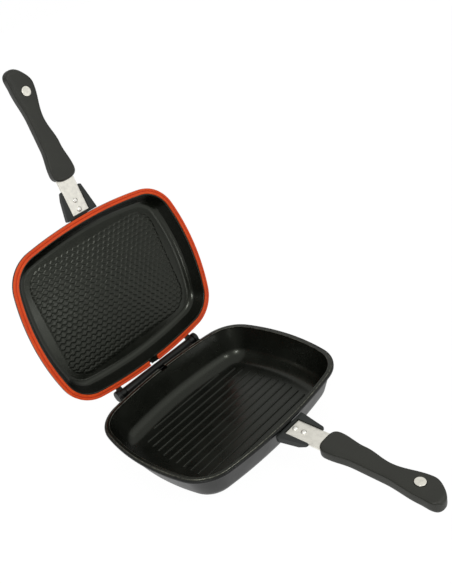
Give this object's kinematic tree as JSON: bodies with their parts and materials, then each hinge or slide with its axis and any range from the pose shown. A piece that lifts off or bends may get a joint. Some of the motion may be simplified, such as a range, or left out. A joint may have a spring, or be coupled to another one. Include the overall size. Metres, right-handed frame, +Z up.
{
  "type": "double sided flip pan",
  "caption": "Double sided flip pan: a deep ribbed pan and a shallower lid pan, hinged along one long side, with a silicone rim seal and long straight handles that meet when it is shut.",
  "frame": {"origin": "centre of the flat foot of the base pan, on the surface that it stands on", "axes": "+X from the hinge to the handles, +Y along the hinge, +Z up; the lid is drawn open"},
  "size_m": [0.568, 0.3024, 0.4978],
  "materials": {
    "coated_pan": "satin black non-stick coating with fine pale specks",
    "bracket": "dark moulded heat-resistant plastic",
    "steel": "satin brushed",
    "rivet_steel": "polished",
    "pin_steel": "satin",
    "grip": "matt moulded, softly textured",
    "magnet": "nickel plated, satin",
    "seal": "matt silicone"
  },
  "bodies": {
    "base": {"base_pan": "coated_pan", "base_bracket": "bracket", "base_strap": "steel", "base_rivets": "rivet_steel", "base_grip": "grip", "base_grip_screw": "pin_steel", "base_magnet": "magnet", "hinge_pin_left": "pin_steel", "hinge_pin_right": "pin_steel"},
    "lid": {"lid_pan": "coated_pan", "lid_seal": "seal", "lid_bracket": "bracket", "lid_strap": "steel", "lid_rivets": "rivet_steel", "lid_grip": "grip", "lid_grip_screw": "pin_steel", "lid_magnet": "magnet"}
  },
  "joints": [
    {"name": "lid_hinge", "type": "hinge", "parent": "base", "child": "lid", "pos_m": [-0.128, 0, 0.051], "axis": [0, 1, 0], "range_deg": [0, 102]}
  ]
}
